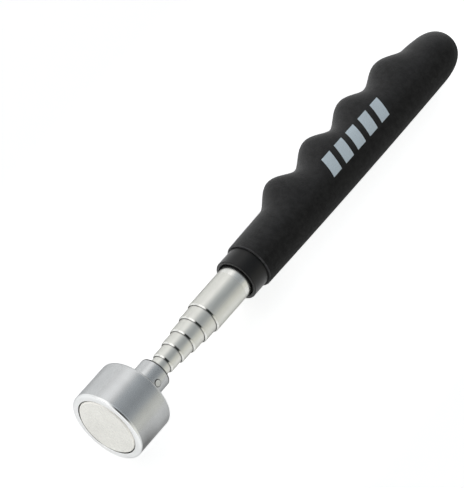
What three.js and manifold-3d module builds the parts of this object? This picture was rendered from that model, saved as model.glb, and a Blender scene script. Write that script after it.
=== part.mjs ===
// Telescoping magnetic pick-up tool, pushed together.
//
// Millimetres. The tool's axis is Y: the magnet faces -Y and the foam handle is at +Y.
// The finger bumps of the handle point to -X, and Z is up when the tool lies on its side.
// The origin is the centre of the magnet's working face.
//
// Tube 1 is the outermost tube and is fixed in the handle. Tubes 2 to 6 slide out of it,
// each on a split bush clipped round its rear end, and tube 6 carries the magnet head.

import * as THREE from 'three';
import { mergeVertices } from 'three/addons/utils/BufferGeometryUtils.js';
import Module from 'manifold-3d';

// ---------------------------------------------------------------- driving dimensions

const FIT = 0.05;                 // gap between pieces that are pressed or glued together

// Telescoping tubes
const TUBE_COUNT = 6;
const TUBE_1_RADIUS = 6.22;       // outside radius of the outermost tube
const RADIUS_STEP = 0.57;         // each tube is this much smaller than the one round it
const TUBE_WALL = 0.36;
const TUBE_LENGTH = 128;
const TUBE_5_FRONT = 30.4;        // where the front end of tube 5 lies
const FIRST_STAGGER = 5.3;        // tube 4's front end lies this far behind tube 5's
const STAGGER_GROWTH = 0.2;       // each further pair of ends is this much further apart
const LIP_LENGTH = 1.2;           // rolled-in front lip that stops the next tube's bush
const LIP_PLAY = 0.05;            // between a lip and the tube that slides through it
const LIP_TAPER = 0.5;            // a lip's outside narrows over this length at its front
const LIP_GROOVE = 0.15;          // width of the groove inside a lip's front edge
const LIP_GROOVE_DEPTH = 0.35;
const BUSH_LENGTH = 4;
const BUSH_SEAT_DEPTH = 0.26;     // how far a tube is necked down where its bush sits
const BUSH_PLAY_INSIDE = 0.04;    // between a bush and its seat
const BUSH_PLAY_OUTSIDE = 0.04;   // between a bush and the bore it slides in
const BUSH_SLIT_SEGMENTS = 2;     // the slit takes this many of the round's segments
const BORE_STEP_LEAD = 0.2;       // the bore narrows this far ahead of the bush seat
const STOP_GAP = 0.3;             // from a pushed-in tube to the step that stops it
const INNERMOST_RIM = 0.5;        // rear rim of tube 6, which stops nothing behind it

// Magnet head
const HEAD_RADIUS = 13.5;
const HEAD_FRONT = 0.2;           // the magnet stands this far proud of the rim
const HEAD_REAR = 16.55;
const HEAD_FRONT_ROUNDING = 0.8;
const HEAD_REAR_ROUNDING = 1.2;
const NECK_RADIUS = 5.64;
const NECK_REAR = 26.7;
const NECK_ROUNDING = 0.35;
const POCKET_RADIUS = 11.2;       // the bore in the head that holds the magnet
const POCKET_FLOOR = 9;
const SOCKET_FLOOR = 18.8;        // tube 6 is pushed into the neck as far as this
const MAGNET_RADIUS = 10.85;
const MAGNET_THICKNESS = 5;
const MAGNET_CHAMFER = 0.5;
const PLATE_THICKNESS = 2;
const SPACER_WALL = 0.22;
const SPACER_FRONT = 0.9;
const SHANK_HEAD_RADIUS = 5;
const SHANK_REAR = 33;
const SHANK_CHAMFER = 0.6;
const PIN_RADIUS = 1.4;
const PIN_Y = 21.7;
const PIN_ANGLE = THREE.MathUtils.degToRad(59);   // from +X towards +Z
const PIN_PROUD = 0.1;            // the pin's ends stand this far out of the neck
const PIN_DRILL_LENGTH = 17;      // more than the neck is thick

// Handle
const COLLAR_FRONT = 72;
const COLLAR_RADIUS = 7.9;
const COLLAR_ROUNDING = 0.3;
const COLLAR_MOUTH_RADIUS = 6.85; // the collar's bore is flared to this at its front
const COLLAR_MOUTH_DEPTH = 0.9;
const COLLAR_SPIGOT_LENGTH = 6;
const COLLAR_SPIGOT_RADIUS = 6.95;
const GRIP_FRONT = 79.4;
const GRIP_REAR = 203.2;
const GRIP_BODY_RADIUS = 9.36;    // where the body is thickest
const GRIP_BODY_SWELL = 0.59;     // the body is this much thinner at its front end
const GRIP_BODY_MIDDLE = 148;     // where the body is thickest
const GRIP_FRONT_ROUNDING = 0.5;
const DOME_START = 187.5;
const DOME_POWER = 2.67;
const PLUG_FLANGE_THICKNESS = 3;
const PLUG_SPIGOT_LENGTH = 3;

// Finger bumps: crests a pitch apart, with a hollow between each two
const FIRST_CREST = 108.7;
const BUMP_PITCH = 21.95;
const CREST_OFFSETS = [13.9, 13.95, 14.05, 13.65];
const HOLLOW_OFFSETS = [9.65, 9.9, 10.5];
const LEADING_STEEPNESS = 1.06;   // the front of the first bump is steeper by this factor
const TRAILING_STEEPNESS = 0.9;   // and the rear of the last bump by this one
const TAIL_RISE = 0.45;           // the body is this much thicker right behind the last bump
const TAIL_PITCHES = 0.25;        // and runs back to its plain shape over this much of a pitch

// Fineness of the round parts
const TUBE_SEGMENTS = 32;
const HEAD_SEGMENTS = 40;
const GRIP_SEGMENTS = 28;
const PIN_SEGMENTS = 12;
const ROUNDING_STEPS = 3;
const RINGS_PER_BUMP = 8;
const GRIP_EDGE_STEPS = [0, 0.25, 0.6, 1];           // rings along the front rounding
const GRIP_STRAIGHT_STEPS = [0.25, 0.5, 0.75];       // rings from there to the first bump
const DOME_TURNS = [8, 22, 36, 50, 62, 73, 82];      // rings round the dome, in degrees

// ---------------------------------------------------------------- shared helpers

const wasm = await Module();
wasm.setup();

const tool = new THREE.Group();

// Adds one piece, in the material given by its colour, roughness and metalness.
function addPiece(name, geometry, look) {
  const piece = new THREE.Mesh(geometry, new THREE.MeshStandardMaterial(look));
  piece.name = name;
  tool.add(piece);
}

const STEEL = { color: 0xc9c8c2, roughness: 0.3, metalness: 1 };
const SATIN_ALUMINIUM = { color: 0xb9bcbe, roughness: 0.42, metalness: 1 };
const NICKEL = { color: 0xe2e0da, roughness: 0.25, metalness: 1 };
const BRONZE = { color: 0xb08d57, roughness: 0.4, metalness: 1 };
const BLACK_PLASTIC = { color: 0x1b1b1d, roughness: 0.35, metalness: 0 };
const BLACK_FOAM = { color: 0x232325, roughness: 0.9, metalness: 0 };

// A solid turned about Y. Points are [radius, y], outside wall towards +Y, and the outline
// either starts and ends on the axis or is closed by repeating its first point.
function turned(points, segments) {
  return new THREE.LatheGeometry(points.map(([r, y]) => new THREE.Vector2(r, y)), segments);
}

// Points of a rounded corner: a quarter circle about (r, y) from one angle to another.
function corner(r, y, radius, fromDegrees, toDegrees) {
  const points = [];
  for (let i = 0; i <= ROUNDING_STEPS; i += 1) {
    const degrees = THREE.MathUtils.lerp(fromDegrees, toDegrees, i / ROUNDING_STEPS);
    const angle = THREE.MathUtils.degToRad(degrees);
    points.push([r + radius * Math.cos(angle), y + radius * Math.sin(angle)]);
  }
  return points;
}

// The same body as a manifold solid, for cutting.
function toSolid(geometry) {
  const bare = geometry.clone();
  bare.deleteAttribute('normal');
  bare.deleteAttribute('uv');
  const merged = mergeVertices(bare);
  const index = merged.index.array;
  const triangles = [];
  for (let i = 0; i < index.length; i += 3) {
    const [a, b, c] = [index[i], index[i + 1], index[i + 2]];
    if (a !== b && b !== c && c !== a) triangles.push(a, b, c);
  }
  return new wasm.Manifold(new wasm.Mesh({
    numProp: 3,
    vertProperties: new Float32Array(merged.attributes.position.array),
    triVerts: new Uint32Array(triangles),
  }));
}

function toGeometry(solid) {
  const mesh = solid.getMesh();
  const geometry = new THREE.BufferGeometry();
  geometry.setAttribute('position', new THREE.BufferAttribute(mesh.vertProperties, 3));
  geometry.setIndex(new THREE.BufferAttribute(mesh.triVerts, 1));
  return geometry;
}

// ---------------------------------------------------------------- telescoping tubes

function tubeRadius(tube) {
  return TUBE_1_RADIUS - (tube - 1) * RADIUS_STEP;
}

// Front end of a tube. Tube 6's is only nominal, because the head's neck covers it.
function tubeFront(tube) {
  const steps = TUBE_COUNT - 1 - tube;
  return TUBE_5_FRONT + FIRST_STAGGER * steps + STAGGER_GROWTH * steps * (steps - 1) / 2;
}

function tubeRear(tube) {
  return tubeFront(tube) + TUBE_LENGTH;
}

// Where the necked seat for a tube's bush begins. Inside, it is the step that stops the
// next tube, so the rim behind the seat takes up what is left of the stagger.
function seatFront(tube) {
  const seatLength = BUSH_LENGTH + 2 * FIT;
  const stagger = tubeFront(tube) - tubeFront(tube + 1);
  const rim = tube === TUBE_COUNT ? INNERMOST_RIM : stagger - seatLength - BORE_STEP_LEAD - STOP_GAP;
  return tubeRear(tube) - rim - seatLength;
}

// Outline of a tube's rear end: the seat outside, the rim, and the narrowed bore inside.
function tubeRearOutline(tube) {
  const radius = tubeRadius(tube);
  const seat = radius - BUSH_SEAT_DEPTH;
  const narrowBore = seat - TUBE_WALL;
  const front = seatFront(tube);
  const rimFront = front + BUSH_LENGTH + 2 * FIT;
  const rear = tubeRear(tube);
  return [
    [radius, front],
    [seat, front],
    [seat, rimFront],
    [radius, rimFront],
    [radius, rear],
    [narrowBore, rear],
    [narrowBore, front - BORE_STEP_LEAD],
    [radius - TUBE_WALL, front - BORE_STEP_LEAD],
  ];
}

// Tubes 1 to 5 have a rolled-in lip at the front, closing on the tube inside.
function lippedTube(tube) {
  const radius = tubeRadius(tube);
  const front = tubeFront(tube);
  const lipBore = tubeRadius(tube + 1) + LIP_PLAY;
  return turned([
    [lipBore + LIP_GROOVE, front],
    [radius, front + LIP_TAPER],
    ...tubeRearOutline(tube),
    [radius - TUBE_WALL, front + LIP_LENGTH],
    [lipBore, front + LIP_LENGTH],
    [lipBore, front + LIP_GROOVE_DEPTH],
    [lipBore + LIP_GROOVE, front],
  ], TUBE_SEGMENTS);
}

// Tube 6 is plain at the front and reaches into the socket in the head's neck.
function innermostTube() {
  const radius = tubeRadius(TUBE_COUNT);
  const front = SOCKET_FLOOR + FIT;
  return turned([
    [radius - TUBE_WALL, front],
    [radius, front],
    ...tubeRearOutline(TUBE_COUNT),
    [radius - TUBE_WALL, front],
  ], TUBE_SEGMENTS);
}

// A split spring bush: it clips into the seat at the rear of its tube, and its slit lets
// it press outwards on the bore it slides in.
function frictionBush(tube) {
  const inner = tubeRadius(tube) - BUSH_SEAT_DEPTH + BUSH_PLAY_INSIDE;
  const outer = tubeRadius(tube - 1) - TUBE_WALL - BUSH_PLAY_OUTSIDE;
  const slit = BUSH_SLIT_SEGMENTS * 2 * Math.PI / TUBE_SEGMENTS;
  const from = Math.PI / 2 + slit / 2;
  const to = from + 2 * Math.PI - slit;
  const ring = new THREE.Shape();
  ring.absarc(0, 0, outer, from, to, false);
  ring.absarc(0, 0, inner, to, from, true);
  ring.closePath();
  const bush = new THREE.ExtrudeGeometry(ring, {
    depth: BUSH_LENGTH,
    bevelEnabled: false,
    curveSegments: TUBE_SEGMENTS - BUSH_SLIT_SEGMENTS,
  });
  bush.rotateX(-Math.PI / 2);
  bush.translate(0, seatFront(tube) + FIT, 0);
  return bush;
}

// ---------------------------------------------------------------- magnet head

// A round bar across the neck, used as the pin and, a little larger, to drill for it.
function crossBar(radius, length) {
  const bar = new THREE.CylinderGeometry(radius, radius, length, PIN_SEGMENTS);
  bar.rotateZ(-Math.PI / 2);
  bar.rotateY(-PIN_ANGLE);
  bar.translate(0, PIN_Y, 0);
  return bar;
}

function drilledForPin(geometry) {
  const drill = toSolid(crossBar(PIN_RADIUS + FIT, PIN_DRILL_LENGTH));
  return toGeometry(toSolid(geometry).subtract(drill));
}

// The turned cup with its neck: a pocket for the magnet in front, a socket for tube 6
// behind, and a hole for the shank between them.
function headHousing() {
  const frontEdge = HEAD_FRONT_ROUNDING;
  const rearEdge = HEAD_REAR_ROUNDING;
  const socket = tubeRadius(TUBE_COUNT) + FIT;
  const shankHole = shankRadius() + FIT;
  return drilledForPin(turned([
    [POCKET_RADIUS, HEAD_FRONT],
    ...corner(HEAD_RADIUS - frontEdge, HEAD_FRONT + frontEdge, frontEdge, -90, 0),
    ...corner(HEAD_RADIUS - rearEdge, HEAD_REAR - rearEdge, rearEdge, 0, 90),
    [NECK_RADIUS, HEAD_REAR],
    ...corner(NECK_RADIUS - NECK_ROUNDING, NECK_REAR - NECK_ROUNDING, NECK_ROUNDING, 0, 90),
    [socket, NECK_REAR],
    [socket, SOCKET_FLOOR],
    [shankHole, SOCKET_FLOOR],
    [shankHole, POCKET_FLOOR],
    [POCKET_RADIUS, POCKET_FLOOR],
    [POCKET_RADIUS, HEAD_FRONT],
  ], HEAD_SEGMENTS));
}

function magnetDisc() {
  return turned([
    [0, 0],
    [MAGNET_RADIUS - MAGNET_CHAMFER, 0],
    [MAGNET_RADIUS, MAGNET_CHAMFER],
    [MAGNET_RADIUS, MAGNET_THICKNESS],
    [0, MAGNET_THICKNESS],
  ], HEAD_SEGMENTS);
}

// Steel disc behind the magnet, which carries its field back to the rim.
function backPlate() {
  const front = MAGNET_THICKNESS + FIT;
  return turned([
    [0, front],
    [MAGNET_RADIUS, front],
    [MAGNET_RADIUS, front + PLATE_THICKNESS],
    [0, front + PLATE_THICKNESS],
  ], HEAD_SEGMENTS);
}

// Plastic ring that keeps the magnet off the pocket's wall, set back from the face.
function spacerRing() {
  const outer = POCKET_RADIUS - FIT;
  const inner = outer - SPACER_WALL;
  const rear = MAGNET_THICKNESS + FIT + PLATE_THICKNESS;
  return turned([
    [inner, SPACER_FRONT],
    [outer, SPACER_FRONT],
    [outer, rear],
    [inner, rear],
    [inner, SPACER_FRONT],
  ], HEAD_SEGMENTS);
}

function shankRadius() {
  return tubeRadius(TUBE_COUNT) - TUBE_WALL - FIT;
}

// Headed shank from the pocket, through the head and into tube 6.
function tipShank() {
  const headFront = MAGNET_THICKNESS + PLATE_THICKNESS + 2 * FIT;
  const headRear = POCKET_FLOOR - FIT;
  const radius = shankRadius();
  return drilledForPin(turned([
    [0, headFront],
    [SHANK_HEAD_RADIUS, headFront],
    [SHANK_HEAD_RADIUS, headRear],
    [radius, headRear],
    [radius, SHANK_REAR - SHANK_CHAMFER],
    [radius - SHANK_CHAMFER, SHANK_REAR],
    [0, SHANK_REAR],
  ], TUBE_SEGMENTS));
}

function neckPin() {
  return crossBar(PIN_RADIUS, 2 * (NECK_RADIUS + PIN_PROUD));
}

// ---------------------------------------------------------------- handle

// Moulded collar at the front of the handle. Its flared mouth leaves a dark ring round
// tube 1, and a thin spigot behind it fits inside the liner.
function frontCollar() {
  const bore = TUBE_1_RADIUS + FIT;
  const rear = GRIP_FRONT - FIT;
  return turned([
    [bore, COLLAR_FRONT + COLLAR_MOUTH_DEPTH],
    [COLLAR_MOUTH_RADIUS, COLLAR_FRONT],
    ...corner(COLLAR_RADIUS - COLLAR_ROUNDING, COLLAR_FRONT + COLLAR_ROUNDING, COLLAR_ROUNDING, -90, 0),
    [COLLAR_RADIUS, rear],
    [COLLAR_SPIGOT_RADIUS, rear],
    [COLLAR_SPIGOT_RADIUS, rear + COLLAR_SPIGOT_LENGTH],
    [bore, rear + COLLAR_SPIGOT_LENGTH],
    [bore, COLLAR_FRONT + COLLAR_MOUTH_DEPTH],
  ], TUBE_SEGMENTS);
}

// Plastic sleeve between tube 1 and the foam, opened out at the front for the collar.
function linerSleeve() {
  const bore = TUBE_1_RADIUS + FIT;
  const wideBore = COLLAR_SPIGOT_RADIUS + FIT;
  const wideRear = GRIP_FRONT + COLLAR_SPIGOT_LENGTH;
  return turned([
    [wideBore, GRIP_FRONT],
    [COLLAR_RADIUS, GRIP_FRONT],
    [COLLAR_RADIUS, tubeRear(1)],
    [bore, tubeRear(1)],
    [bore, wideRear],
    [wideBore, wideRear],
    [wideBore, GRIP_FRONT],
  ], TUBE_SEGMENTS);
}

// Plug that closes the liner behind tube 1 and is spigoted into the tube's narrow bore.
function rearPlug() {
  const spigot = TUBE_1_RADIUS - BUSH_SEAT_DEPTH - TUBE_WALL - FIT;
  const flangeFront = tubeRear(1) + FIT;
  return turned([
    [0, flangeFront - PLUG_SPIGOT_LENGTH],
    [spigot, flangeFront - PLUG_SPIGOT_LENGTH],
    [spigot, flangeFront],
    [COLLAR_RADIUS, flangeFront],
    [COLLAR_RADIUS, flangeFront + PLUG_FLANGE_THICKNESS],
    [0, flangeFront + PLUG_FLANGE_THICKNESS],
  ], TUBE_SEGMENTS);
}

// Half the thickness of the grip's plain body, and the distance to its straight back.
function bodyOffset(y) {
  const run = (y - GRIP_BODY_MIDDLE) / (GRIP_BODY_MIDDLE - GRIP_FRONT);
  const edge = Math.max(0, 1 - (y - GRIP_FRONT) / GRIP_FRONT_ROUNDING);
  const rounding = GRIP_FRONT_ROUNDING * (1 - Math.sqrt(1 - edge * edge));
  const along = Math.max(0, (y - DOME_START) / (GRIP_REAR - DOME_START));
  const dome = (1 - along ** DOME_POWER) ** (1 / DOME_POWER);
  return (GRIP_BODY_RADIUS - GRIP_BODY_SWELL * run * run) * dome - rounding;
}

// Where y lies along the bumps: 0 at the first crest, 1 at the second, and so on.
function bumpPhase(y) {
  const pitches = (y - FIRST_CREST) / BUMP_PITCH;
  const last = CREST_OFFSETS.length - 1;
  if (pitches < 0) return pitches * LEADING_STEEPNESS;
  if (pitches > last) return last + (pitches - last) * TRAILING_STEEPNESS;
  return pitches;
}

// Distance from the axis to the finger side: the body, with the bumps standing on it.
function fingerOffset(y) {
  const body = bodyOffset(y);
  const phase = bumpPhase(y);
  const bump = Math.floor(phase + 0.5);
  if (bump < 0) return body;
  const behind = (phase + 0.5 - CREST_OFFSETS.length) / TAIL_PITCHES;
  const tail = body + TAIL_RISE * THREE.MathUtils.clamp(1 - behind, 0, 1);
  if (bump >= CREST_OFFSETS.length) return tail;
  const before = HOLLOW_OFFSETS[bump - 1] ?? body;
  const after = HOLLOW_OFFSETS[bump] ?? tail;
  const foot = THREE.MathUtils.lerp(before, after, phase + 0.5 - bump);
  return foot + (CREST_OFFSETS[bump] - foot) * Math.cos(Math.PI * phase) ** 2;
}

// One ring of the grip's surface: half a circle at the back, half an ellipse for the fingers.
function gripRing(y) {
  const ring = [];
  for (let i = 0; i < GRIP_SEGMENTS; i += 1) {
    const angle = (i + 0.5) / GRIP_SEGMENTS * 2 * Math.PI;
    const reach = Math.cos(angle) > 0 ? bodyOffset(y) : fingerOffset(y);
    ring.push([reach * Math.cos(angle), y, bodyOffset(y) * Math.sin(angle)]);
  }
  return ring;
}

function roundRing(radius, y) {
  const ring = [];
  for (let i = 0; i < GRIP_SEGMENTS; i += 1) {
    const angle = (i + 0.5) / GRIP_SEGMENTS * 2 * Math.PI;
    ring.push([radius * Math.cos(angle), y, radius * Math.sin(angle)]);
  }
  return ring;
}

// Heights of the grip's rings: close together at its ends, even along the bumps.
function gripHeights() {
  const bumps = CREST_OFFSETS.length;
  const bumpsFrom = FIRST_CREST - BUMP_PITCH / 2 / LEADING_STEEPNESS;
  const bumpsTo = FIRST_CREST + BUMP_PITCH * (bumps - 1 + 0.5 / TRAILING_STEEPNESS);
  const rings = bumps * RINGS_PER_BUMP;
  const heights = GRIP_EDGE_STEPS.map((step) => GRIP_FRONT + step * GRIP_FRONT_ROUNDING);
  for (const step of GRIP_STRAIGHT_STEPS) {
    heights.push(THREE.MathUtils.lerp(GRIP_FRONT, bumpsFrom, step));
  }
  for (let i = 0; i <= rings; i += 1) {
    heights.push(THREE.MathUtils.lerp(bumpsFrom, bumpsTo, i / rings));
  }
  for (const turn of DOME_TURNS) {
    const along = Math.sin(THREE.MathUtils.degToRad(turn));
    heights.push(THREE.MathUtils.lerp(bumpsTo, GRIP_REAR, along));
  }
  return heights;
}

// A closed body through rings of points, ended by one point at each end.
function lofted(startPoint, rings, endPoint) {
  const count = rings[0].length;
  const positions = [startPoint, ...rings.flat(), endPoint].flat();
  const last = rings.length * count + 1;
  const index = [];
  for (let i = 0; i < count; i += 1) {
    const next = (i + 1) % count;
    index.push(0, 1 + i, 1 + next);
    for (let ring = 0; ring < rings.length - 1; ring += 1) {
      const a = 1 + ring * count + i;
      const b = 1 + ring * count + next;
      index.push(a, a + count, b + count, a, b + count, b);
    }
    index.push(last, last - count + next, last - count + i);
  }
  const geometry = new THREE.BufferGeometry();
  geometry.setAttribute('position', new THREE.Float32BufferAttribute(positions, 3));
  geometry.setIndex(index);
  return geometry;
}

// Foam grip: a blind bore for the liner and plug, the front face, then the outside.
function foamGrip() {
  const bore = COLLAR_RADIUS + FIT;
  const boreEnd = tubeRear(1) + PLUG_FLANGE_THICKNESS + 2 * FIT;
  return lofted(
    [0, boreEnd, 0],
    [roundRing(bore, boreEnd), roundRing(bore, GRIP_FRONT), ...gripHeights().map(gripRing)],
    [0, GRIP_REAR, 0],
  );
}

// ---------------------------------------------------------------- the whole tool

addPiece('foam_grip', foamGrip(), BLACK_FOAM);
addPiece('front_collar', frontCollar(), BLACK_PLASTIC);
addPiece('liner_sleeve', linerSleeve(), BLACK_PLASTIC);
addPiece('rear_plug', rearPlug(), BLACK_PLASTIC);
for (let tube = 1; tube < TUBE_COUNT; tube += 1) {
  addPiece(`tube_${tube}`, lippedTube(tube), STEEL);
}
addPiece(`tube_${TUBE_COUNT}`, drilledForPin(innermostTube()), STEEL);
for (let tube = 2; tube <= TUBE_COUNT; tube += 1) {
  addPiece(`friction_bush_${tube}`, frictionBush(tube), BRONZE);
}
addPiece('head_housing', headHousing(), SATIN_ALUMINIUM);
addPiece('magnet_disc', magnetDisc(), NICKEL);
addPiece('back_plate', backPlate(), STEEL);
addPiece('spacer_ring', spacerRing(), BLACK_PLASTIC);
addPiece('tip_shank', tipShank(), STEEL);
addPiece('neck_pin', neckPin(), STEEL);

export default tool;
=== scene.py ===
"""Telescoping magnetic pick-up tool, lying pushed together on a pale studio floor.

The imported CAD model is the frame. Every visible CAD piece is replaced by a fine mesh of
the same size and place. Outlines are in millimetres, and meshes and places in metres.
The tool's axis is Y: the magnet faces -Y, the handle is at +Y and its finger bumps are at -X.
"""

import math

import bmesh
import bpy
from mathutils import Matrix, Vector


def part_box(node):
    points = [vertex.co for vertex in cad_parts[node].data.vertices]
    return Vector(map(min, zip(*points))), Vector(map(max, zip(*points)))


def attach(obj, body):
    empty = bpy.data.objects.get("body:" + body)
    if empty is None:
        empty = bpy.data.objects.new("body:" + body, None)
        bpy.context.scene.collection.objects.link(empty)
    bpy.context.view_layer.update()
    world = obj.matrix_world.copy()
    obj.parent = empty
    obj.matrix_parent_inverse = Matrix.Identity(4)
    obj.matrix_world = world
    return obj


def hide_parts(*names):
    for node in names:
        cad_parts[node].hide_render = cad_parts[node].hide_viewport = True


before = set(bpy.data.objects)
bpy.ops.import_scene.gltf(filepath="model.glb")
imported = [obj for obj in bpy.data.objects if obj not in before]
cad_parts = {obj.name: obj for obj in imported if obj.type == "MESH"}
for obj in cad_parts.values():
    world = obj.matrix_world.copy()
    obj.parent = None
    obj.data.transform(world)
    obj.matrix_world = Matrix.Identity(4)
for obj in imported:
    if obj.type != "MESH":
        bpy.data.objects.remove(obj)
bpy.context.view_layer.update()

MM = 0.001
FIT = 0.05  # gap between pieces that are pressed or glued together, in mm

# Fineness of the meshes
ARC_STEPS = 6
SEGMENTS = 96
HEAD_SEGMENTS = 128
SHARP_DEGREES = 35  # a sharper edge than this is not smoothed over
SUPPORT = 0.12  # a long straight run gets a ring this close to each end, in mm
LONG_RUN = 1.0


# ---------------------------------------------------------------- camera

# Distances are in metres, and lens and sensor in millimetres
AIM = Vector((-0.00895, 0.0598, 0.0360))
CAMERA_DISTANCE = 0.85
CAMERA_REACH = 20
CAMERA_ELEVATION = math.radians(58.94)
CAMERA_ROLL = math.radians(41.69)
CAMERA_LENS = 198.8
CAMERA_SENSOR = 36


def make_camera():
    """Looks down along the tool from the magnet's side, rolled so the handle points up right."""
    camera = bpy.data.objects.new("camera", bpy.data.cameras.new("camera"))
    bpy.context.scene.collection.objects.link(camera)
    back = Vector((0, -math.cos(CAMERA_ELEVATION), math.sin(CAMERA_ELEVATION)))
    ahead = Vector((0, math.sin(CAMERA_ELEVATION), math.cos(CAMERA_ELEVATION)))
    side = Vector((1, 0, 0))
    right = side * math.cos(CAMERA_ROLL) + ahead * math.sin(CAMERA_ROLL)
    up = ahead * math.cos(CAMERA_ROLL) - side * math.sin(CAMERA_ROLL)
    turn = Matrix((right, up, back)).transposed()
    camera.matrix_world = Matrix.Translation(AIM + back * CAMERA_DISTANCE) @ turn.to_4x4()
    camera.data.lens = CAMERA_LENS
    camera.data.sensor_width = CAMERA_SENSOR
    camera.data.clip_end = CAMERA_REACH
    bpy.context.scene.camera = camera


# ---------------------------------------------------------------- mesh helpers


def new_piece(name, bm, sharp_degrees=SHARP_DEGREES):
    """A smooth-shaded object from bm, with its edges over sharp_degrees left sharp."""
    bmesh.ops.recalc_face_normals(bm, faces=bm.faces)
    for face in bm.faces:
        face.smooth = True
    for edge in bm.edges:
        if len(edge.link_faces) == 2:
            edge.smooth = edge.calc_face_angle() < math.radians(sharp_degrees)
    mesh = bpy.data.meshes.new(name)
    bm.to_mesh(mesh)
    bm.free()
    piece = bpy.data.objects.new(name, mesh)
    bpy.context.scene.collection.objects.link(piece)
    return piece


def filleted(corners, closed):
    """Points of an outline. Each corner is (r, y) or (r, y, fillet radius), in mm."""
    count = len(corners)
    points = []
    for i, corner in enumerate(corners):
        here = Vector(corner[:2])
        radius = corner[2] if len(corner) == 3 else 0
        if radius == 0 or (not closed and i in (0, count - 1)):
            points.append(here)
            continue
        before = (Vector(corners[i - 1][:2]) - here).normalized()
        after = (Vector(corners[(i + 1) % count][:2]) - here).normalized()
        half = before.angle(after) / 2
        reach = radius / math.tan(half)
        centre = here + (before + after).normalized() * radius / math.sin(half)
        start = here + before * reach - centre
        end = here + after * reach - centre
        sweep = start.angle_signed(end)
        for step in range(ARC_STEPS + 1):
            points.append(centre + Matrix.Rotation(-sweep * step / ARC_STEPS, 2) @ start)
    return points


def with_supports(points, closed):
    """The outline's points, and one more close to each end of every long straight run."""
    result = []
    runs = len(points) if closed else len(points) - 1
    for i in range(runs):
        here = points[i]
        there = points[(i + 1) % len(points)]
        result.append(here)
        along = there - here
        if along.length > LONG_RUN:
            step = along.normalized() * SUPPORT
            result += [here + step, there - step]
    if not closed:
        result.append(points[-1])
    return result


def turned(name, corners, closed=True, segments=SEGMENTS):
    """A solid turned about the tool's axis. An open outline starts and ends on the axis."""
    points = with_supports(filleted(corners, closed), closed)
    bm = bmesh.new()
    rings = []
    for r, y in points:
        if r == 0:
            rings.append([bm.verts.new((0, y * MM, 0))])
            continue
        angles = [2 * math.pi * k / segments for k in range(segments)]
        rings.append([bm.verts.new((r * MM * math.cos(a), y * MM, r * MM * math.sin(a))) for a in angles])
    pairs = list(zip(rings, rings[1:]))
    if closed:
        pairs.append((rings[-1], rings[0]))
    for first, second in pairs:
        for k in range(segments):
            n = (k + 1) % segments
            if len(first) == 1:
                bm.faces.new((first[0], second[k], second[n]))
            elif len(second) == 1:
                bm.faces.new((first[k], second[0], first[n]))
            else:
                bm.faces.new((first[k], second[k], second[n], first[n]))
    return new_piece(name, bm)


def extent(node):
    """(radius across, front y, rear y) of a CAD node, in mm."""
    low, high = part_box(node)
    return (high.z - low.z) / 2 / MM, low.y / MM, high.y / MM


def paint(piece, material, chosen):
    """Gives material to the faces of a turned piece where chosen(r, y), in mm, is true."""
    index = len(piece.data.materials)
    piece.data.materials.append(material)
    for face in piece.data.polygons:
        x, y, z = face.center / MM
        if chosen(math.hypot(x, z), y):
            face.material_index = index


def finish_piece(piece, body, slot, material, *nodes):
    """Gives a piece its body and its material, and hides the CAD nodes it stands for. Its slot is not used.
    """
    piece.data.materials.append(material)
    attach(piece, body)
    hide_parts(*nodes)


# ---------------------------------------------------------------- materials

# Sockets of a Mix node that mixes colours
MIX_SHARE = 0
MIX_FIRST = 6
MIX_SECOND = 7
MIX_RESULT = 2

NOISE_MIDDLE = (0.3, 0.7)  # nearly all values of a noise lie between these


class Nodes:
    """A node tree, with short ways to add and link nodes."""

    def __init__(self, tree):
        self.tree = tree

    def add(self, kind, inputs=None, **settings):
        """A new node with its settings, and with its inputs set or linked."""
        node = self.tree.nodes.new(kind)
        for key, value in settings.items():
            setattr(node, key, value)
        for key, value in (inputs or {}).items():
            self.put(value, node.inputs[key])
        return node

    def put(self, value, socket):
        """Links a socket to value, or sets it if value is a plain number or colour."""
        if isinstance(value, bpy.types.NodeSocket):
            self.tree.links.new(value, socket)
        else:
            socket.default_value = value

    def noise(self, place, scale, detail=2, roughness=0.5):
        """Noise with about scale waves to a millimetre of place."""
        inputs = {"Vector": place, "Scale": scale, "Detail": detail, "Roughness": roughness}
        return self.add("ShaderNodeTexNoise", inputs).outputs["Fac"]

    def spread(self, value, low, high, start=0.0, end=1.0, **settings):
        """Maps value from start..end to low..high."""
        inputs = {"Value": value, "From Min": start, "From Max": end, "To Min": low, "To Max": high}
        return self.add("ShaderNodeMapRange", inputs, **settings).outputs["Result"]

    def mix(self, share, first, second, **settings):
        """Goes from the first colour to the second as share goes from 0 to 1."""
        inputs = {MIX_SHARE: share, MIX_FIRST: first, MIX_SECOND: second}
        return self.add("ShaderNodeMix", inputs, data_type="RGBA", **settings).outputs[MIX_RESULT]

    def times(self, first, second):
        """The product of two colours."""
        return self.mix(1.0, first, second, blend_type="MULTIPLY")


class Look(Nodes):
    """A new material's node tree."""

    def __init__(self, name):
        self.material = bpy.data.materials.new(name)
        self.material.use_nodes = True
        super().__init__(self.material.node_tree)
        self.shader = self.tree.nodes["Principled BSDF"]

    def shade(self, **values):
        """Sets or links the main shader's sockets: Base_Color=..., Roughness=..."""
        for key, value in values.items():
            self.put(value, self.shader.inputs[key.replace("_", " ")])

    def place(self, scale=(1, 1, 1)):
        """Object coordinates in millimetres, times scale."""
        coordinates = self.add("ShaderNodeTexCoord").outputs["Object"]
        per_mm = tuple(s / MM for s in scale)
        return self.add("ShaderNodeVectorMath", {0: coordinates, 1: per_mm}, operation="MULTIPLY").outputs[0]

    def bump(self, height, strength, distance_mm, normal=None):
        """Normals of a relief that is distance_mm deep, on top of an earlier bump's normals."""
        inputs = {"Height": height, "Strength": strength, "Distance": distance_mm * MM}
        if normal is not None:
            inputs["Normal"] = normal
        return self.add("ShaderNodeBump", inputs).outputs["Normal"]


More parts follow.
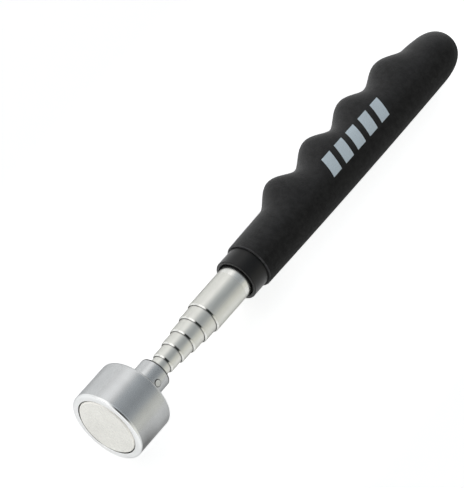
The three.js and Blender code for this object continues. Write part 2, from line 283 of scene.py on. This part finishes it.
def shade_of(base, factor=1.0):
    """A colour for a socket: base, lighter or darker by factor."""
    return (*(c * factor for c in base), 1)


# Colours that the metals take where they are seen at a glancing angle
STEEL_EDGE = shade_of((0.3, 0.3, 0.3))
ALUMINIUM_EDGE = shade_of((0.5, 0.5, 0.5))

# Painted shade on the head, near-black on the +X side just behind the front rim, standing in for the
# shadowed floor that the metal reflects there: places along the axis are distances behind the magnet's face,
# in mm
PAINTED_SHADE = shade_of((0.02, 0.02, 0.018))
PAINTED_SHADE_START = (0.5, 1.3)  # it fades in between these places
PAINTED_SHADE_WANE = (4, 10)  # it gets thinner between these places
PAINTED_SHADE_FRONT_SHARE = 0.68
PAINTED_SHADE_REAR_SHARE = 0.36
PAINTED_SHADE_SIDE = (0.5, 0.95)  # x / radius where it starts and where it is thickest


def drawn_steel(name, base, roughness):
    """Satin drawn tube: fine lines along it and soft blotches."""
    m = Look(name)
    place = m.place()
    lines = m.noise(m.place((1, 0.02, 1)), 9, detail=3)
    blotches = m.noise(place, 0.25, detail=3)
    colour = m.mix(m.spread(lines, 0, 1, *NOISE_MIDDLE), shade_of(base), shade_of(base, 0.9))
    gloss = m.spread(blotches, roughness - 0.04, roughness + 0.05, *NOISE_MIDDLE)
    m.shade(Base_Color=colour, Metallic=1.0, Roughness=gloss, Normal=m.bump(lines, 0.12, 0.02))
    m.shade(Specular_Tint=STEEL_EDGE)
    return m.material


def turned_aluminium(name, base, roughness, line_strength):
    """Satin turned metal: fine rings, a faint grain, and painted shade on the +X side, most at the front."""
    m = Look(name)
    place = m.place()
    x, y, z = m.add("ShaderNodeSeparateXYZ", {0: place}).outputs
    across = m.add("ShaderNodeCombineXYZ", {0: x, 2: z}).outputs[0]
    radius = m.add("ShaderNodeVectorMath", {0: across}, operation="LENGTH").outputs["Value"]
    rings_at = m.add("ShaderNodeCombineXYZ", {0: radius, 1: y}).outputs[0]
    rings = m.noise(rings_at, 7, detail=3)
    grain = m.noise(place, 5, detail=4)
    blotches = m.noise(place, 0.15, detail=3)
    unshaded = m.mix(m.spread(blotches, 0, 1, *NOISE_MIDDLE), shade_of(base), shade_of(base, 0.92))
    # Painted shade: the colour goes towards near-black on the +X side, most near the front
    side = m.add("ShaderNodeMath", {0: x, 1: radius}, operation="DIVIDE").outputs[0]
    most = m.spread(y, PAINTED_SHADE_FRONT_SHARE, PAINTED_SHADE_REAR_SHARE, *PAINTED_SHADE_WANE)
    painted_shade = m.spread(y, 0, m.spread(side, 0, most, *PAINTED_SHADE_SIDE), *PAINTED_SHADE_START)
    colour = m.mix(painted_shade, unshaded, PAINTED_SHADE)
    gloss = m.spread(grain, roughness - 0.04, roughness + 0.04, *NOISE_MIDDLE)
    normal = m.bump(grain, 0.06, 0.02, m.bump(rings, line_strength, 0.02))
    m.shade(Base_Color=colour, Metallic=1.0, Roughness=gloss, Normal=normal)
    m.shade(Specular_Tint=ALUMINIUM_EDGE)
    return m.material


def nickel_plate(name, base, roughness):
    """Soft nickel plating: faint orange peel, cloudiness and a few fine scuffs."""
    m = Look(name)
    place = m.place()
    peel = m.noise(place, 0.9, detail=2)
    cloud = m.noise(place, 0.18, detail=3)
    scuffs = m.noise(m.place((0.25, 1, 1.6)), 2.2, detail=5, roughness=0.7)
    colour = m.mix(m.spread(cloud, 0, 1, 0.35, 0.7), shade_of(base), shade_of(base, 0.93))
    gloss = m.spread(scuffs, roughness - 0.03, roughness + 0.1, 0.45, 0.75)
    m.shade(Base_Color=colour, Metallic=1.0, Roughness=gloss, Normal=m.bump(peel, 0.05, 0.05))
    return m.material


def moulded_plastic(name, base, roughness, grain_strength, gloss_level=0.3):
    """Black moulded plastic with a slight moulding texture."""
    m = Look(name)
    place = m.place()
    grain = m.noise(place, 6, detail=3)
    cloud = m.noise(place, 0.3, detail=2)
    colour = m.mix(m.spread(cloud, 0, 1, *NOISE_MIDDLE), shade_of(base), shade_of(base, 1.4))
    gloss = m.spread(grain, roughness - 0.04, roughness + 0.06, *NOISE_MIDDLE)
    m.shade(Base_Color=colour, Roughness=gloss, Normal=m.bump(grain, grain_strength, 0.03))
    m.shade(Specular_IOR_Level=gloss_level)
    return m.material


RUB_EDGE = 3  # the change between the grip's two sides is this far either way, in mm
BACK_ROUGHNESS = 0.95
RUBBED_ROUGHNESS = 0.50


def foam_surface(m):
    """Closed-cell foam's place, grain and normals: fine cells over an uneven skin."""
    place = m.place()
    cells = m.add("ShaderNodeTexVoronoi", {"Vector": place, "Scale": 2.6})
    pits = m.spread(cells.outputs["Distance"], 0, 1, 0, 0.6)
    fine = m.noise(place, 5.5, detail=4, roughness=0.65)
    skin = m.noise(place, 0.35, detail=2)
    normal = m.bump(skin, 0.12, 0.2)
    normal = m.bump(pits, 0.5, 0.12, normal)
    return place, fine, m.bump(fine, 0.7, 0.08, normal)


def foam(name, finger_side, back):
    """Black foam with a speckled grain. Hands have rubbed its finger side smoother than its back, and its
    colour there is a touch lighter as painted light.
    """
    m = Look(name)
    place, fine, normal = foam_surface(m)
    x = m.add("ShaderNodeSeparateXYZ", {0: place}).outputs["X"]
    rubbed_and_lit = m.spread(x, 1, 0, -RUB_EDGE, RUB_EDGE)
    cloud = m.noise(place, 0.5, detail=4, roughness=0.6)
    white = (1, 1, 1)
    # Painted light: the finger side's colour is a touch lighter and bluer than the back's
    plain = m.mix(rubbed_and_lit, shade_of(back), shade_of(finger_side))
    speckle = m.mix(m.spread(fine, 0, 1, 0.35, 0.7), shade_of(white, 0.75), shade_of(white, 1.5))
    mottle = m.mix(m.spread(cloud, 0, 1, 0.35, 0.65), shade_of(white, 0.7), shade_of(white, 1.3))
    colour = m.times(m.times(plain, speckle), mottle)
    gloss = m.spread(rubbed_and_lit, BACK_ROUGHNESS, RUBBED_ROUGHNESS)
    m.shade(Base_Color=colour, Roughness=gloss, Normal=normal, Specular_IOR_Level=0.22)
    return m.material


def printed_ink(name, base):
    """Ink on the foam: it takes the foam's grain and is a little patchy."""
    m = Look(name)
    _, fine, normal = foam_surface(m)
    colour = m.mix(m.spread(fine, 0, 1, 0.35, 0.75), shade_of(base), shade_of(base, 0.72))
    m.shade(Base_Color=colour, Roughness=0.6, Normal=normal)
    return m.material


def plain_metal(name, base, roughness):
    """Machined metal for the hidden pieces, with a fine grain."""
    m = Look(name)
    grain = m.noise(m.place(), 4, detail=3)
    colour = m.mix(m.spread(grain, 0, 1, *NOISE_MIDDLE), shade_of(base), shade_of(base, 0.8))
    m.shade(Base_Color=colour, Metallic=1.0, Roughness=roughness, Normal=m.bump(grain, 0.1, 0.02))
    return m.material


STEEL = drawn_steel("drawn_steel", (0.71, 0.71, 0.67), roughness=0.38)
POLISHED_LIP = drawn_steel("polished_lip", (0.76, 0.76, 0.73), roughness=0.14)
WORN_STEEL = drawn_steel("worn_steel", (0.76, 0.76, 0.73), roughness=0.24)
ALUMINIUM = turned_aluminium("satin_aluminium", (0.56, 0.57, 0.575), roughness=0.27, line_strength=0.08)
BRIGHT_RIM = turned_aluminium("bright_rim", (0.82, 0.83, 0.83), roughness=0.20, line_strength=0.05)
# Painted shade: near-black metal put where shade falls, at the neck's rear edge, in the lips' grooves, on
# tube 1 at the collar and round the pin's ends
PAINTED_SHADE_METAL = turned_aluminium("painted_shade_metal", (0.10, 0.10, 0.10), roughness=0.45, line_strength=0.05)
NICKEL = nickel_plate("nickel_plate", (0.69, 0.685, 0.65), roughness=0.30)
WORN_NICKEL = nickel_plate("worn_nickel_edge", (0.92, 0.91, 0.87), roughness=0.65)
COLLAR_PLASTIC = moulded_plastic("collar_plastic", (0.0055, 0.0055, 0.0057), 0.35, 0.05, gloss_level=0.25)
# Painted highlight: a much lighter plastic for the collar's front face, standing in for the light line it
# catches
PAINTED_HIGHLIGHT_PLASTIC = moulded_plastic("painted_highlight_collar_face", (0.035, 0.035, 0.036), 0.5, 0.1)
DARK_PLASTIC = moulded_plastic("dark_plastic", (0.012, 0.012, 0.012), 0.55, 0.2)
RING_PLASTIC = moulded_plastic("ring_plastic", (0.14, 0.14, 0.135), 0.5, 0.2)
FOAM = foam("black_foam", finger_side=(0.013, 0.013, 0.0135), back=(0.012, 0.012, 0.012))
# Painted light: a lighter foam for the grip's front edge, where it catches the light
PAINTED_LIGHT_FOAM = foam("painted_light_foam_edge", finger_side=(0.05, 0.05, 0.052), back=(0.05, 0.05, 0.052))
INK = printed_ink("grip_ink", (0.58, 0.675, 0.74))
BRONZE = plain_metal("bush_bronze", (0.48, 0.30, 0.13), roughness=0.35)
PLAIN_STEEL = plain_metal("machined_steel", (0.50, 0.50, 0.49), roughness=0.38)


# ---------------------------------------------------------------- telescoping tubes

TUBE_COUNT = 6
WALL = 0.36
LIP_LENGTH = 1.2
LIP_PLAY = 0.05
LIP_TAPER = 0.5
LIP_FILLET = 0.3
LIP_GROOVE = 0.15
LIP_GROOVE_DEPTH = 0.35
SEAT_DEPTH = 0.26
SEAT_LENGTH = 4.1
SEAT_EDGE = 0.05
BORE_STEP_LEAD = 0.2  # a tube's bore narrows this far in front of its bush seat
STOP_GAP = 0.3  # from a pushed-in tube to the narrow bore that stops it
INNERMOST_RIM = 0.5  # rear rim of the last tube, which stops no other tube
RIM_EDGE = 0.1

# Rings on tube 1 at the collar
PAINTED_SHADE_RING_FRONT = 0.5  # the ring of painted shade shows this far in front of the collar
PAINTED_SHADE_RING_LENGTH = 1.0  # half of it is hidden in the collar
WORN_RING_LENGTH = 2.6  # the bright worn ring lies in front of it


def seat_start(tube, rear):
    """Front of a tube's bush seat, right behind the place where its bore gets narrow."""
    if tube == TUBE_COUNT:
        return rear - INNERMOST_RIM - SEAT_LENGTH
    return extent(f"tube_{tube + 1}")[2] + STOP_GAP + BORE_STEP_LEAD


def rear_outline(radius, seat_front, rear):
    """Rear end of a tube: the necked seat for a bush, the rim behind it, and the bore."""
    seat = radius - SEAT_DEPTH
    seat_rear = seat_front + SEAT_LENGTH
    return [
        (radius, seat_front),
        (seat, seat_front),
        (seat, seat_rear),
        (radius, seat_rear, SEAT_EDGE),
        (radius, rear, RIM_EDGE),
        (seat - WALL, rear, RIM_EDGE),
        (seat - WALL, seat_front - BORE_STEP_LEAD),
        (radius - WALL, seat_front - BORE_STEP_LEAD, SEAT_EDGE),
    ]


def collar_rings():
    """Front of the worn ring, and front and rear of the ring of painted shade, on tube 1."""
    shade_front = extent("front_collar")[1] - PAINTED_SHADE_RING_FRONT
    return shade_front - WORN_RING_LENGTH, shade_front, shade_front + PAINTED_SHADE_RING_LENGTH


def tube_piece(tube, body):
    """A tube with its bush seat. All but the innermost have a rolled-in lip at the front."""
    radius, front, rear = extent(f"tube_{tube}")
    rings = collar_rings() if tube == 1 else ()
    outline = [(radius, y) for y in rings] + rear_outline(radius, seat_start(tube, rear), rear)
    if tube == TUBE_COUNT:
        outline = [(radius - WALL, front), (radius, front), *outline]
    else:
        lip_bore = extent(f"tube_{tube + 1}")[0] + LIP_PLAY
        groove = lip_bore + LIP_GROOVE
        outline = [
            (groove, front),
            (radius, front + LIP_TAPER, LIP_FILLET),
            *outline,
            (radius - WALL, front + LIP_LENGTH),
            (lip_bore, front + LIP_LENGTH, SEAT_EDGE),
            (lip_bore, front + LIP_GROOVE_DEPTH),
        ]
    piece = turned(f"telescoping_tube_{tube}", outline)
    finish_piece(piece, body, "tube_steel", STEEL, f"tube_{tube}")
    if tube < TUBE_COUNT:
        paint(piece, POLISHED_LIP, lambda r, y: r > groove and y < front + LIP_TAPER)
        # Painted shade: the groove inside each lip is near-black, as the shade in that recess
        paint(piece, PAINTED_SHADE_METAL, lambda r, y: r < groove and y < front + LIP_GROOVE_DEPTH)
    if tube == 1:
        worn_front, shade_front, shade_rear = rings
        outside = radius - WALL / 2
        paint(piece, WORN_STEEL, lambda r, y: r > outside and worn_front < y < shade_front)
        # Painted shade: a near-black ring on tube 1 just in front of the collar, for the collar's shade and
        # dark reflection on the tube
        paint(piece, PAINTED_SHADE_METAL, lambda r, y: r > outside and shade_front < y < shade_rear)


# ---------------------------------------------------------------- magnet head

HEAD_BODY = "head"
NECK_RADIUS = 5.64
NECK_FILLET = 0.35
CUP_REAR = 16.55
CUP_FRONT_FILLET = 0.8
CUP_REAR_FILLET = 1.2
POCKET_RADIUS = 11.2
POCKET_FLOOR = 9
POCKET_EDGE = 0.15
SOCKET_FLOOR = 18.8
SOCKET_EDGE = 0.12
BRIGHT_DEPTH = 1.0  # length of the bright front rim
PAINTED_SHADE_DEPTH = 0.6  # length of the neck's rear edge that is painted dark as shade
MAGNET_CHAMFER = 0.5
MAGNET_FILLET = 0.25
MAGNET_REAR_EDGE = 0.2
MAGNET_WORN_SIDE = 0.1  # the worn edge reaches this far behind the chamfer
SPACER_WALL = 0.22
PIN_ANGLE = math.radians(59)  # from +X towards +Z
PIN_PROUD = 0.1
PIN_FILLET = 0.3
PIN_SEGMENTS = 48


def head_housing():
    """Cup with a pocket for the magnet in front, and a neck with a socket for the last tube."""
    radius, front, rear = extent("head_housing")
    socket = extent(f"tube_{TUBE_COUNT}")[0] + FIT
    shank_hole = socket - WALL - FIT
    piece = turned("magnet_head_housing", [
        (POCKET_RADIUS, front, POCKET_EDGE),
        (radius, front, CUP_FRONT_FILLET),
        (radius, CUP_REAR, CUP_REAR_FILLET),
        (NECK_RADIUS, CUP_REAR, NECK_FILLET),
        (NECK_RADIUS, rear - PAINTED_SHADE_DEPTH),
        (NECK_RADIUS, rear, NECK_FILLET),
        (socket, rear, SOCKET_EDGE),
        (socket, SOCKET_FLOOR),
        (shank_hole, SOCKET_FLOOR),
        (shank_hole, POCKET_FLOOR),
        (POCKET_RADIUS, POCKET_FLOOR),
    ], segments=HEAD_SEGMENTS)
    finish_piece(piece, HEAD_BODY, "head_aluminium", ALUMINIUM, "head_housing")
    paint(piece, BRIGHT_RIM, lambda r, y: y < front + BRIGHT_DEPTH)
    # Painted shade: the neck's rear edge is near-black where the neck shades the tube behind it
    paint(piece, PAINTED_SHADE_METAL, lambda r, y: y > rear - PAINTED_SHADE_DEPTH)


def magnet_disc():
    """Plated disc with a chamfered and worn front edge."""
    radius, front, rear = extent("magnet_disc")
    face_radius = radius - MAGNET_CHAMFER
    worn_rear = front + MAGNET_CHAMFER + MAGNET_WORN_SIDE
    piece = turned("nickel_magnet_disc", [
        (0, front),
        (face_radius, front, MAGNET_FILLET),
        (radius, front + MAGNET_CHAMFER, MAGNET_FILLET),
        (radius, rear, MAGNET_REAR_EDGE),
        (0, rear),
    ], closed=False, segments=HEAD_SEGMENTS)
    finish_piece(piece, HEAD_BODY, "magnet_nickel", NICKEL, "magnet_disc")
    paint(piece, WORN_NICKEL, lambda r, y: r > face_radius and y < worn_rear)


def spacer_ring():
    """Thin ring between the magnet and the wall of its pocket."""
    radius, front, rear = extent("spacer_ring")
    inner = radius - SPACER_WALL
    outline = [(inner, front), (radius, front), (radius, rear), (inner, rear)]
    piece = turned("magnet_spacer_ring", outline, segments=HEAD_SEGMENTS)
    finish_piece(piece, HEAD_BODY, "dark_plastic", RING_PLASTIC, "spacer_ring")


def neck_pin():
    """Cross pin through the neck, with bright ends and rounded edges painted dark as shade."""
    low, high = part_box("neck_pin")
    centre = (low + high) / 2
    radius = (high.y - low.y) / 2 / MM
    half = NECK_RADIUS + PIN_PROUD
    ends = [(0, -half), (radius, -half, PIN_FILLET), (radius, half, PIN_FILLET), (0, half)]
    piece = turned("neck_cross_pin", ends, closed=False, segments=PIN_SEGMENTS)
    finish_piece(piece, HEAD_BODY, "steel", ALUMINIUM, "neck_pin")
    # Painted shade: a near-black outline on the pin's rounded edges
    paint(piece, PAINTED_SHADE_METAL, lambda r, y: r > radius - PIN_FILLET)
    along = Vector((math.cos(PIN_ANGLE), 0, math.sin(PIN_ANGLE)))
    piece.data.transform(Matrix.Translation(centre) @ along.to_track_quat("Y", "Z").to_matrix().to_4x4())


# ---------------------------------------------------------------- handle

HANDLE = "handle"
_, GRIP_FRONT, GRIP_REAR = extent("foam_grip")

MOUTH_RADIUS = 6.85  # the collar's bore is flared to this at its front
MOUTH_DEPTH = 0.9
MOUTH_REAR_FILLET = 0.2
MOUTH_FRONT_FILLET = 0.25
COLLAR_FRONT_FILLET = 0.3
COLLAR_EDGE = 0.1
COLLAR_HIGHLIGHT_DEPTH = 0.02  # just enough to take in the flat front face
SPIGOT_RADIUS = 6.95


def front_collar():
    """Collar in front of the foam, with a spigot that goes in between liner and tube."""
    radius, front, rear = extent("front_collar")
    bore = extent("tube_1")[0] + FIT
    shoulder = GRIP_FRONT - FIT
    piece = turned("moulded_front_collar", [
        (bore, front + MOUTH_DEPTH, MOUTH_REAR_FILLET),
        (MOUTH_RADIUS, front, MOUTH_FRONT_FILLET),
        (radius, front, COLLAR_FRONT_FILLET),
        (radius, shoulder, COLLAR_EDGE),
        (SPIGOT_RADIUS, shoulder),
        (SPIGOT_RADIUS, rear, COLLAR_EDGE),
        (bore, rear, COLLAR_EDGE),
    ])
    finish_piece(piece, HANDLE, "black_plastic", COLLAR_PLASTIC, "front_collar")
    # Painted highlight: the collar's flat front face is several times lighter than the rest
    paint(piece, PAINTED_HIGHLIGHT_PLASTIC, lambda r, y: y < front + COLLAR_HIGHLIGHT_DEPTH)


# The grip's body, straight along its back, and the four finger bumps
GRIP_RADIUS = 9.36
GRIP_SWELL = 0.59
GRIP_MIDDLE = 148
GRIP_FRONT_FILLET = 0.5
DOME_START = 187.5
DOME_POWER = 2.67
FIRST_CREST = 108.7
BUMP_PITCH = 21.95
CRESTS = (13.9, 13.95, 14.05, 13.65)
HOLLOWS = (9.65, 9.9, 10.5)
LEADING_STEEPNESS = 1.06
TRAILING_STEEPNESS = 0.9
TAIL_RISE = 0.45  # the body is this much thicker right behind the last bump
TAIL_PITCHES = 0.25  # and runs back to its plain shape over this much of a pitch
PAINTED_LIGHT_SHARE = 0.6  # share of the front fillet that is painted lighter, as light caught on the grip's front edge
BORE_EDGE = 0.1  # the bore is flared over this length at its front
BORE_FLARE = 0.06
BORE_SUPPORT = 1.0  # a ring this far in keeps the shading of the flare short
GRIP_AROUND = 128
FILLET_RINGS = 8
GRIP_RINGS = 150
DOME_RINGS = 28
FOAM_SHARP_DEGREES = 60


def body_offset(y):
    """Half the thickness of the grip's plain body at y, and the distance to its back."""
    run = (y - GRIP_MIDDLE) / (GRIP_MIDDLE - GRIP_FRONT)
    edge = max(0, 1 - (y - GRIP_FRONT) / GRIP_FRONT_FILLET)
    fillet = GRIP_FRONT_FILLET * (1 - math.sqrt(max(0, 1 - edge * edge)))
    along = min(1, max(0, (y - DOME_START) / (GRIP_REAR - DOME_START)))
    dome = (1 - along**DOME_POWER) ** (1 / DOME_POWER)
    return (GRIP_RADIUS - GRIP_SWELL * run * run) * dome - fillet


def bump_phase(y):
    """Where y lies along the bumps: 0 at the first crest, 1 at the second, and so on."""
    pitches = (y - FIRST_CREST) / BUMP_PITCH
    last = len(CRESTS) - 1
    if pitches < 0:
        return pitches * LEADING_STEEPNESS
    if pitches > last:
        return last + (pitches - last) * TRAILING_STEEPNESS
    return pitches


def finger_offset(y):
    """Distance from the axis to the finger side: the body, with the bumps standing on it."""
    body = body_offset(y)
    phase = bump_phase(y)
    bump = math.floor(phase + 0.5)
    if bump < 0:
        return body
    behind = (phase + 0.5 - len(CRESTS)) / TAIL_PITCHES
    tail = body + TAIL_RISE * min(1, max(0, 1 - behind))
    if bump >= len(CRESTS):
        return tail
    feet = (body, *HOLLOWS, tail)
    share = phase + 0.5 - bump
    foot = feet[bump] * (1 - share) + feet[bump + 1] * share
    return foot + (CRESTS[bump] - foot) * math.cos(math.pi * phase) ** 2


def section_point(y, angle):
    """A point of the grip's surface: angle 0 is its back at +X, and 90 degrees is up."""
    reach = body_offset(y) if math.cos(angle) > 0 else finger_offset(y)
    return Vector((reach * math.cos(angle), y, body_offset(y) * math.sin(angle))) * MM


def grip_heights():
    """Rings of the grip from its front edge to just short of the tip of the dome."""
    start = GRIP_FRONT + GRIP_FRONT_FILLET
    turns = [math.pi / 2 * k / FILLET_RINGS for k in range(FILLET_RINGS)]
    heights = [start - GRIP_FRONT_FILLET * math.cos(turn) for turn in turns]
    heights += [start + (DOME_START - start) * k / GRIP_RINGS for k in range(GRIP_RINGS)]
    turns = [math.pi / 2 * k / DOME_RINGS for k in range(DOME_RINGS)]
    heights += [DOME_START + (GRIP_REAR - DOME_START) * math.sin(turn) for turn in turns]
    return heights


def foam_grip():
    """Foam grip with its blind bore: rings down the bore, over the front face and the outside."""
    bore = extent("front_collar")[0] + FIT
    bore_end = extent("rear_plug")[2] + FIT
    angles = [2 * math.pi * (k + 0.5) / GRIP_AROUND for k in range(GRIP_AROUND)]
    bm = bmesh.new()

    def ring(points):
        return [bm.verts.new(p) for p in points]

    def round_ring(radius, y):
        return ring(Vector((radius * math.cos(a), y, radius * math.sin(a))) * MM for a in angles)

    rings = [round_ring(bore, y) for y in (bore_end, GRIP_FRONT + BORE_SUPPORT, GRIP_FRONT + BORE_EDGE)]
    rings.append(round_ring(bore + BORE_FLARE, GRIP_FRONT))
    rings += [ring(section_point(y, a) for a in angles) for y in grip_heights()]
    bore_tip = bm.verts.new((0, bore_end * MM, 0))
    dome_tip = bm.verts.new((0, GRIP_REAR * MM, 0))
    for first, second in zip(rings, rings[1:]):
        for k in range(GRIP_AROUND):
            n = (k + 1) % GRIP_AROUND
            bm.faces.new((first[k], second[k], second[n], first[n]))
    for edge_ring, tip in ((rings[0], bore_tip), (rings[-1], dome_tip)):
        for k in range(GRIP_AROUND):
            bm.faces.new((edge_ring[k], edge_ring[(k + 1) % GRIP_AROUND], tip))
    piece = new_piece("contoured_foam_grip", bm, FOAM_SHARP_DEGREES)
    finish_piece(piece, HANDLE, "foam", FOAM, "foam_grip")
    # Painted light: the front of the grip's fillet is lighter, as light caught on its edge
    paint(piece, PAINTED_LIGHT_FOAM, lambda r, y: y < GRIP_FRONT + GRIP_FRONT_FILLET * PAINTED_LIGHT_SHARE)


# A plain printed band of slanted bars on the upper side of the grip
PRINT_FROM = 122.2
PRINT_BARS = 5
PRINT_PITCH = 7.4
PRINT_BAR = 4.7
PRINT_LOW_X = 1.8
PRINT_HIGH_X = -5.4
PRINT_SLANT = 2.4
PRINT_PROUD = 0.03
PRINT_SUNK = 0.12
PRINT_STEPS_ALONG = 10
PRINT_STEPS_ACROSS = 16


def surface_height(x, y):
    """Height of the grip's upper side over the point (x, y), in mm."""
    reach = body_offset(y) if x > 0 else finger_offset(y)
    return body_offset(y) * math.sqrt(max(0, 1 - (x / reach) ** 2))


def print_bar(index):
    """One slanted bar: a thin closed slab that follows the grip's surface."""
    along = PRINT_STEPS_ALONG
    across = PRINT_STEPS_ACROSS
    bm = bmesh.new()
    grids = []
    for offset in (PRINT_PROUD, -PRINT_SUNK):
        grid = []
        for i in range(along + 1):
            row = []
            for j in range(across + 1):
                x = PRINT_LOW_X + (PRINT_HIGH_X - PRINT_LOW_X) * j / across
                y = PRINT_FROM + index * PRINT_PITCH + PRINT_BAR * i / along + PRINT_SLANT * j / across
                row.append(bm.verts.new(Vector((x, y, surface_height(x, y) + offset)) * MM))
            grid.append(row)
        grids.append(grid)
    top, bottom = grids
    for i in range(along):
        for j in range(across):
            bm.faces.new((top[i][j], top[i + 1][j], top[i + 1][j + 1], top[i][j + 1]))
            bm.faces.new((bottom[i][j], bottom[i][j + 1], bottom[i + 1][j + 1], bottom[i + 1][j]))
    for i in range(along):
        for j in (0, across):
            bm.faces.new((top[i][j], top[i + 1][j], bottom[i + 1][j], bottom[i][j]))
    for j in range(across):
        for i in (0, along):
            bm.faces.new((top[i][j], top[i][j + 1], bottom[i][j + 1], bottom[i][j]))
    piece = new_piece(f"grip_print_bar_{index + 1}", bm)
    piece.data.materials.append(INK)
    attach(piece, HANDLE)


# ---------------------------------------------------------------- pieces that stay as they are


def finish_hidden_nodes():
    """The pieces inside keep their CAD shapes and get their own materials."""
    looks = {
        "liner_sleeve": DARK_PLASTIC,
        "rear_plug": DARK_PLASTIC,
        "back_plate": PLAIN_STEEL,
        "tip_shank": PLAIN_STEEL,
    }
    for tube in range(2, TUBE_COUNT + 1):
        looks[f"friction_bush_{tube}"] = BRONZE
    for name, material in looks.items():
        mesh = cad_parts[name].data
        mesh.materials.clear()
        mesh.materials.append(material)


# ---------------------------------------------------------------- floor and light

FLOOR_RADIUS = 3  # in metres
FLOOR_GAP = 0.05 * MM
FLOOR_SEGMENTS = 96
GRIP_CONTACT = 180  # the grip rests on the floor here, in mm

# The floor glows, as painted light that fills in the tool's shadow: more strongly under the tool and most
# under its grip
GLOW_UNDER = 0.62
GLOW_UNDER_GRIP = 0.72
GLOW_ASIDE = 0.46
GLOW_ALONG = (60, 100)  # the glow grows between these places along the axis, in mm
GLOW_ACROSS = (40, 80)  # and falls off between these distances from it


def make_floor():
    """A pale floor that touches the head and the rear of the grip."""
    head_radius, _, _ = extent("head_housing")
    contact_head = Vector((0, CUP_REAR - CUP_REAR_FILLET, -head_radius)) * MM
    contact_grip = Vector((0, GRIP_CONTACT, -body_offset(GRIP_CONTACT))) * MM
    side = Vector((1, 0, 0))
    along = (contact_grip - contact_head).normalized()
    up = side.cross(along)
    bm = bmesh.new()
    bmesh.ops.create_circle(bm, cap_ends=True, segments=FLOOR_SEGMENTS, radius=FLOOR_RADIUS)
    turn = Matrix((side, along, up)).transposed().to_4x4()
    bm.transform(Matrix.Translation(contact_head - up * FLOOR_GAP) @ turn)
    floor = new_piece("floor", bm)
    m = Look("pale_floor")
    place = m.place()
    cloud = m.noise(place, 0.004, detail=2)
    colour = m.mix(cloud, shade_of((0.90, 0.90, 0.90)), shade_of((0.88, 0.88, 0.885)))
    x, y, _ = m.add("ShaderNodeSeparateXYZ", {0: place}).outputs
    aside = m.add("ShaderNodeMath", {0: x}, operation="ABSOLUTE").outputs[0]
    # Painted light: the floor's glow is strongest under the tool and its grip, where the tool's shadow would
    # fall
    under = m.spread(y, GLOW_UNDER, GLOW_UNDER_GRIP, *GLOW_ALONG)
    glow = m.spread(aside, under, GLOW_ASIDE, *GLOW_ACROSS)
    m.shade(Base_Color=colour, Roughness=0.55, Emission_Color=(1, 1, 1, 1), Emission_Strength=glow)
    floor.data.materials.append(m.material)


# Brightness of the surroundings by angle about the tool's axis: 0 is overhead, and the finger
# side is positive. In front of the magnet, where the camera looks in, it is dark overhead.
SIDES = [
    (-180, 0.80, "white"), (-105, 0.75, "warm"), (-66, 0.92, "warm"), (-46, 0.74, "warm"),
    (-30, 0.50, "cool"), (-12, 0.38, "cool"), (8, 0.47, "cool"), (26, 0.61, "cool"),
    (36, 0.80, "white"), (45, 1.27, "white"), (62, 1.33, "white"), (74, 1.06, "white"),
    (92, 0.90, "white"), (180, 0.80, "white"),
]
FRONT = [
    (-180, 0.80, "white"), (-105, 0.75, "warm"), (-60, 0.85, "warm"), (-42, 0.60, "warm"),
    (-33, 0.04, "cool"), (22, 0.04, "cool"), (31, 1.00, "white"), (45, 1.50, "white"),
    (74, 1.40, "white"), (92, 0.90, "white"), (180, 0.80, "white"),
]
TINTS = {"white": (1, 1, 1), "warm": (0.99, 0.99, 0.925), "cool": (0.94, 1, 1.05)}
BRIGHTEST = 1.5
FRONT_TO_SIDES = (-0.25, 0.10)  # y of a direction, where FRONT gives way to SIDES
HORIZON = (0.10, 0.25)  # z of a direction, where the horizon gives way to the lights


def make_world():
    """A studio of long lights beside the tool and a white band round the horizon."""
    world = bpy.data.worlds.new("studio")
    bpy.context.scene.world = world
    world.use_nodes = True
    w = Nodes(world.node_tree)

    def ramp(stops, turn):
        """The colour of stops at a turn about the axis, from 0 at -180 to 1 at 180 degrees."""
        node = w.add("ShaderNodeValToRGB", {0: turn})
        elements = node.color_ramp.elements
        while len(elements) < len(stops):
            elements.new(0.5)
        for element, (degrees, level, tint) in zip(elements, stops):
            element.position = (degrees + 180) / 360
            element.color = shade_of(TINTS[tint], level / BRIGHTEST)
        return node.outputs["Color"]

    direction = w.add("ShaderNodeTexCoord").outputs["Generated"]
    x, y, z = w.add("ShaderNodeSeparateXYZ", {0: direction}).outputs
    left = w.add("ShaderNodeMath", {0: x, 1: -1}, operation="MULTIPLY").outputs[0]
    angle = w.add("ShaderNodeMath", {0: left, 1: z}, operation="ARCTAN2").outputs[0]
    turn = w.spread(angle, 0, 1, -math.pi, math.pi)
    beside = w.spread(y, 0, 1, *FRONT_TO_SIDES, interpolation_type="SMOOTHSTEP")
    horizon = w.spread(z, 1, 0, *HORIZON, interpolation_type="SMOOTHSTEP")
    lights = w.mix(beside, ramp(FRONT, turn), ramp(SIDES, turn))
    background = w.tree.nodes["Background"]
    w.put(w.mix(horizon, lights, shade_of(TINTS["white"], 1 / BRIGHTEST)), background.inputs["Color"])
    w.put(BRIGHTEST, background.inputs["Strength"])


# ---------------------------------------------------------------- the whole scene

make_camera()
tube_bodies = {1: HANDLE, TUBE_COUNT: HEAD_BODY}
for number in range(1, TUBE_COUNT + 1):
    tube_piece(number, tube_bodies.get(number, f"stage_{number}"))
head_housing()
magnet_disc()
spacer_ring()
neck_pin()
front_collar()
foam_grip()
for number in range(PRINT_BARS):
    print_bar(number)
finish_hidden_nodes()
make_floor()
make_world()
bpy.context.scene.view_settings.view_transform = "Standard"
